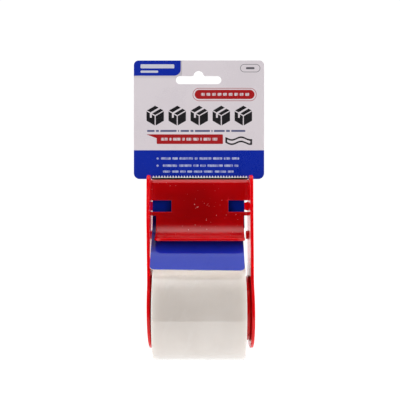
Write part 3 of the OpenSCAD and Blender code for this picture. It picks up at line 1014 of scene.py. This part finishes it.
def build_header():
    w, top, low = 71.0, 162.0, 97.4
    r1, r2 = 2.6, 3.2
    loop = arc(w / 2 - r1, top - r1, r1, 0, 90, 12) + arc(-w / 2 + r1, top - r1, r1, 90, 180, 12) + \
        arc(-w / 2 + r2, low + r2, r2, 180, 270, 12) + arc(w / 2 - r2, low + r2, r2, 270, 360, 12)
    # hang slot with a notch above its middle, eased into the slot by small fillets
    cz, h, half = 151.3, 2.2, 12.4
    slot = arc(half - h, cz, h, -90, 90, 14)
    nr, fr = 2.75, 0.9
    zt = cz + h
    nz = zt + 0.05
    dx = math.sqrt((nr + fr) ** 2 - (zt + fr - nz) ** 2)
    ang = math.degrees(math.atan2(zt + fr - nz, dx))
    slot += arc(dx, zt + fr, fr, 270, 180 + ang, 6)
    slot += arc(0, nz, nr, ang, 180 - ang, 20)[1:-1]
    slot += arc(-dx, zt + fr, fr, -ang, -90, 6)
    slot += arc(-half + h, cz, h, 90, 270, 14)
    loop = [(x + CARD_X, z) for x, z in loop]
    slot = [(x + CARD_X - 0.2, z) for x, z in slot]
    ob = plate_2d("card_header", [loop, slot], 0.4, 0.03, "y", 1.1, res=1)
    me = ob.data
    for p in me.polygons:
        p.material_index = 0 if p.normal.y < -0.9 else 1
        p.use_smooth = False
    return dress(ob, [MAT_CARD, MAT_BACK], "card", ("hang_card",))


build_header()


def tongue_path(end):
    """Points (y, z, slope) down the middle of the sheet, to the height end."""
    mid, R, tz, ta, L = 1.1, 12.5, 77.8, 50.0, 13.1
    pts = [(mid, 97.4, 0.0), (mid, 92.0, 0.0), (mid, 86.0, 0.0), (mid, 81.0, 0.0)]
    for i in range(33):
        a = ta * i / 32
        pts.append((mid - R + R * math.cos(math.radians(a)), tz - R * math.sin(math.radians(a)), a))
    y, z, a = pts[-1]
    sa, ca = math.sin(math.radians(ta)), math.cos(math.radians(ta))
    for i in range(1, 9):
        pts.append((y - L * sa * i / 8, z - L * ca * i / 8, ta))
    y, z, a = pts[-1]
    tb, r2 = 41.0, 34.0
    for i in range(1, 11):
        a = ta + (tb - ta) * i / 10
        pts.append((y + r2 * (math.cos(math.radians(ta)) - math.cos(math.radians(a))),
                    z + r2 * (math.sin(math.radians(a)) - math.sin(math.radians(ta))), a))
    y, z, a = pts[-1]
    left = (z - end) / math.cos(math.radians(tb))
    for i in range(1, 25):
        d = left * i / 24
        pts.append((y - d * math.sin(math.radians(tb)), z - d * math.cos(math.radians(tb)), tb))
    return pts


def tongue_edges(z):
    """Left and right edges of the tongue at a height."""
    x0 = -25.8 + 0.3 * min(max((76.0 - z) / 23.0, 0), 1)
    if z > 70.9:
        x1 = 24.2
    elif z > 69.5:
        x1 = 23.1 + 1.1 * (z - 69.5) / 1.4
    else:
        x1 = 23.1 - 0.27 * min((69.5 - z) / 17.0, 1)
    return x0, x1


def build_tongue():
    nx = 28
    half_t = 0.2
    rc = 2.2
    cols = [tongue_path(50.66 - 0.5 * j / nx) for j in range(nx + 1)]
    nr = len(cols[0])
    verts, faces, mats = [], [], []
    for layer in (0, 1):
        for i in range(nr):
            for j in range(nx + 1):
                y, z, a = cols[j][i]
                ar = math.radians(a)
                ny, nz = -math.cos(ar), math.sin(ar)      # front normal of the sheet
                end = cols[j][-1]
                d = math.hypot(y - end[0], z - end[1])
                inset = rc - math.sqrt(max(rc * rc - (rc - d) ** 2, 0)) if d < rc else 0.0
                x0, x1 = tongue_edges(z)
                x0, x1 = x0 + inset, x1 - inset
                k = half_t if layer == 0 else -half_t
                verts.append((x0 + (x1 - x0) * j / nx, y + ny * k, z + nz * k))
    m = nx + 1
    N = nr * m
    for i in range(nr - 1):
        for j in range(nx):
            p = i * m + j
            faces.append((p, p + m, p + m + 1, p + 1))
            mats.append(0)
            faces.append((N + p, N + p + 1, N + p + m + 1, N + p + m))
            mats.append(1)
        for j in (0, nx):
            p, q = i * m + j, (i + 1) * m + j
            faces.append((p, N + p, N + q, q))
            mats.append(1)
    for i in (0, nr - 1):
        for j in range(nx):
            p = i * m + j
            faces.append((p, p + 1, N + p + 1, N + p))
            mats.append(1)
    ob = mesh_from("card_tongue_sheet", verts, faces, mats)
    ob.data.set_sharp_from_angle(angle=math.radians(50))
    dress(ob, [MAT_TONGUE, MAT_BACK], "card", ("card_tongue",))
    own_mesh(ob)
    return ob


build_tongue()


# ------------------------------------------------------------------ stage
def build_stage():
    me = bpy.data.meshes.new("floor")
    x, y0, y1 = 1.6, -0.098, 1.6
    me.from_pydata([(-x, y0, 0), (x, y0, 0), (x, y1, 0), (-x, y1, 0)], [], [(0, 1, 2, 3)])
    floor = link("floor", me)
    n = Nodes("pale_floor")
    f = n.noise(6, 2, 0.5)
    n.set(color=n.mix(f, (0.26, 0.26, 0.26), (0.29, 0.29, 0.29)), rough=0.9, spec=0.0,
          emit=(1.0, 1.0, 1.0, 1.0), emit_s=0.88)
    me.materials.append(n.mat)


build_stage()

world = bpy.data.worlds.new("studio")
scene.world = world
world.use_nodes = True
wt = world.node_tree
wt.nodes.clear()


def wmath(op, a, b=0.0):
    n = wt.nodes.new("ShaderNodeMath")
    n.operation = op
    for s, v in zip(n.inputs, (a, b)):
        if isinstance(v, bpy.types.NodeSocket):
            wt.links.new(v, s)
        else:
            s.default_value = v
    return n.outputs[0]


def wramp(v, a, b, c, d):
    n = wt.nodes.new("ShaderNodeMapRange")
    n.interpolation_type = "SMOOTHSTEP"
    wt.links.new(v, n.inputs["Value"])
    for k, x in (("From Min", a), ("From Max", b), ("To Min", c), ("To Max", d)):
        n.inputs[k].default_value = x
    return n.outputs[0]


wo = wt.nodes.new("ShaderNodeOutputWorld")
seen = wt.nodes.new("ShaderNodeBackground")
seen.inputs["Color"].default_value = (1, 1, 1, 1)
seen.inputs["Strength"].default_value = 1.05
lit = wt.nodes.new("ShaderNodeBackground")
tcw = wt.nodes.new("ShaderNodeTexCoord")
sep = wt.nodes.new("ShaderNodeSeparateXYZ")
wt.links.new(tcw.outputs["Generated"], sep.inputs[0])
# angle over the top, in degrees: 0 in front, 90 overhead, 180 behind, negative below
up = wmath("MULTIPLY", wmath("ARCTAN2", sep.outputs["Z"], wmath("MULTIPLY", sep.outputs["Y"], -1.0)), 57.2958)
curve = wt.nodes.new("ShaderNodeFloatCurve")
stops = ((-180, 1.25), (-130, 1.1), (-118, 0.9), (-40, 0.9), (-30, 0.7), (-22, 0.02), (40, 0.012), (50, 0.05), (60, 0.75),
         (70, 1.65), (80, 2.35), (90, 2.15), (96, 1.6), (100, 0.45), (104, 0.2), (112, 0.75), (128, 0.85), (150, 1.2), (180, 1.25))
cm = curve.mapping
cm.use_clip = False
pts = cm.curves[0].points
while len(pts) > 2:
    pts.remove(pts[1])
for i, (a, v) in enumerate(stops):
    x, y = (a + 180) / 360, v / 2.5
    p = pts[0] if i == 0 else (pts[-1] if i == len(stops) - 1 else pts.new(x, y))
    p.location = (x, y)
    p.handle_type = "VECTOR"
cm.update()
wt.links.new(wmath("ADD", wmath("MULTIPLY", up, 1 / 360), 0.5), curve.inputs["Value"])
over = wmath("MULTIPLY", curve.outputs[0], 2.5)
side = wramp(wmath("ABSOLUTE", sep.outputs["X"]), 0.18, 0.42, 0.0, 0.90)
side = wmath("MULTIPLY", side, wramp(wmath("ABSOLUTE", sep.outputs["X"]), 0.72, 0.95, 1.0, 0.45))
total = wmath("MAXIMUM", over, side)
wt.links.new(total, lit.inputs["Strength"])
lp = wt.nodes.new("ShaderNodeLightPath")
mx = wt.nodes.new("ShaderNodeMixShader")
wt.links.new(lp.outputs["Is Camera Ray"], mx.inputs[0])
wt.links.new(lit.outputs[0], mx.inputs[1])
wt.links.new(seen.outputs[0], mx.inputs[2])
wt.links.new(mx.outputs[0], wo.inputs["Surface"])


def softbox(name, loc, target, sx, sy, watts, color=(1, 1, 1), gloss=True):
    li = bpy.data.lights.new(name, "AREA")
    li.shape = "RECTANGLE"
    li.size, li.size_y = sx, sy
    li.energy = watts
    li.color = color
    ob = bpy.data.objects.new(name, li)
    scene.collection.objects.link(ob)
    ob.location = loc
    ob.rotation_euler = (Vector(target) - Vector(loc)).to_track_quat("-Z", "Y").to_euler()
    ob.visible_glossy = gloss
    return ob


T = (0, 0, 0.08)
softbox("left_softbox", (-0.75, -0.62, 0.42), T, 0.45, 0.7, 2.2)
softbox("right_softbox", (0.75, -0.62, 0.42), T, 0.45, 0.7, 2.2)

# a gridded strip light low in front, aimed at the top of the roll
snoot = softbox("roll_strip_light", (0, -0.40, 0.022), (0, -0.022, 0.0485), 0.085, 0.008, 0.0006, gloss=False)
snoot.data.spread = math.radians(4)

# a small fill card between the roll and the tongue's free end
softbox("under_tongue_fill", (-0.0008, -0.0195, 0.0530), (-0.0008, -0.0195 + 0.00755, 0.0530 - 0.00656), 0.045, 0.005, 0.0012, gloss=False)

cam_data = bpy.data.cameras.new("camera")
cam_data.sensor_width = 36.0
cam_data.lens = 603.0 / 400.0 * 36.0
cam_data.clip_start = 0.01
cam_data.clip_end = 20
cam = bpy.data.objects.new("camera", cam_data)
scene.collection.objects.link(cam)
cam.location = (0.00006, -0.3275, 0.086)
cam.rotation_euler = (math.radians(90), 0, 0)
scene.camera = cam
scene.view_settings.view_transform = "Standard"
scene.view_settings.look = "None"
scene.view_settings.exposure = 0.0
scene.view_settings.gamma = 1.0

bpy.context.view_layer.update()
